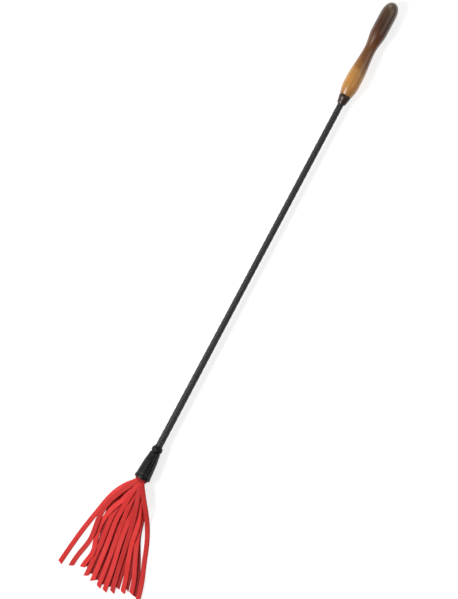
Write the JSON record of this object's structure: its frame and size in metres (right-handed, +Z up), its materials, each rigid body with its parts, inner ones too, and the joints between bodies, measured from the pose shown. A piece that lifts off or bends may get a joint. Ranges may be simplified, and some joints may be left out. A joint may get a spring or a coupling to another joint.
{
  "type": "tassel whip stick",
  "caption": "Costume stick with a turned wooden grip, a slim braided shaft, a flared leather keeper and a fanned tassel of flat leather tails that lift and sway.",
  "frame": {"origin": "middle of the footprint of the stick and its fanned tassel, on the surface it lies on", "axes": "+X along the stick towards the pommel, +Y to the left seen from the tassel end, +Z up"},
  "size_m": [0.7054, 0.0988, 0.018],
  "materials": {
    "turned_wood": "turned hardwood, stained dark at the pommel and honey coloured near the collar, glossy lacquer",
    "collar_lacquer": "dark stained turned collar, satin",
    "fibreglass_rod": "pultruded fibreglass rod, hidden in the cover",
    "braided_cord": "tight black braid with a slight sheen",
    "black_leather": "smooth black leather, fine grain",
    "brass_cap": "plain pressed brass, hidden in the keeper",
    "red_leather": "red suede leather strips, soft sheen, cut edges slightly darker",
    "waxed_thread": "black waxed thread, hidden in the keeper"
  },
  "bodies": {
    "stick": {"grip": "turned_wood", "grip_collar": "collar_lacquer", "core_rod": "fibreglass_rod", "braided_cover": "braided_cord", "keeper_knot": "black_leather", "keeper": "black_leather", "keeper_rim": "black_leather", "rod_end_cap": "brass_cap"},
    "tassel_knot": {"core_knot": "red_leather"},
    "tassel_bundle": {"tail_heads": "red_leather", "binding_thread": "waxed_thread"},
    "top_tails_left": {"tail_top_1": "red_leather", "tail_top_2": "red_leather"},
    "top_tails_inner_left": {"tail_top_3": "red_leather", "tail_top_4": "red_leather", "tail_top_5": "red_leather"},
    "top_tails_inner_right": {"tail_top_6": "red_leather", "tail_top_7": "red_leather", "tail_top_8": "red_leather"},
    "top_tails_right": {"tail_top_9": "red_leather", "tail_top_10": "red_leather", "tail_top_11": "red_leather"},
    "under_tails_left": {"tail_under_1": "red_leather", "tail_under_2": "red_leather", "tail_under_3": "red_leather"},
    "under_tails_middle": {"tail_under_4": "red_leather", "tail_under_5": "red_leather", "tail_under_6": "red_leather"},
    "under_tails_right": {"tail_under_7": "red_leather", "tail_under_8": "red_leather"}
  },
  "joints": [
    {"name": "tassel_sideways", "type": "hinge", "parent": "stick", "child": "tassel_knot", "pos_m": [-0.22829, 0.01092, 0.009], "axis": [0, 0, 1], "range_deg": [-25, 25]},
    {"name": "tassel_lift", "type": "hinge", "parent": "tassel_knot", "child": "tassel_bundle", "pos_m": [-0.22829, 0.01092, 0.009], "axis": [0, 1, 0], "range_deg": [-45, 45]},
    {"name": "top_tails_left_lift", "type": "hinge", "parent": "tassel_bundle", "child": "top_tails_left", "pos_m": [-0.22829, 0.01092, 0.009], "axis": [0, 1, 0], "range_deg": [0, 45]},
    {"name": "top_tails_inner_left_lift", "type": "hinge", "parent": "tassel_bundle", "child": "top_tails_inner_left", "pos_m": [-0.22829, 0.01092, 0.009], "axis": [0, 1, 0], "range_deg": [0, 45]},
    {"name": "top_tails_inner_right_lift", "type": "hinge", "parent": "tassel_bundle", "child": "top_tails_inner_right", "pos_m": [-0.22829, 0.01092, 0.009], "axis": [0, 1, 0], "range_deg": [0, 45]},
    {"name": "top_tails_right_lift", "type": "hinge", "parent": "tassel_bundle", "child": "top_tails_right", "pos_m": [-0.22829, 0.01092, 0.009], "axis": [0, 1, 0], "range_deg": [0, 45]},
    {"name": "under_tails_left_lift", "type": "hinge", "parent": "tassel_bundle", "child": "under_tails_left", "pos_m": [-0.22829, 0.01092, 0.009], "axis": [0, 1, 0], "range_deg": [-45, 0]},
    {"name": "under_tails_middle_lift", "type": "hinge", "parent": "tassel_bundle", "child": "under_tails_middle", "pos_m": [-0.22829, 0.01092, 0.009], "axis": [0, 1, 0], "range_deg": [-45, 0]},
    {"name": "under_tails_right_lift", "type": "hinge", "parent": "tassel_bundle", "child": "under_tails_right", "pos_m": [-0.22829, 0.01092, 0.009], "axis": [0, 1, 0], "range_deg": [-45, 0]}
  ]
}
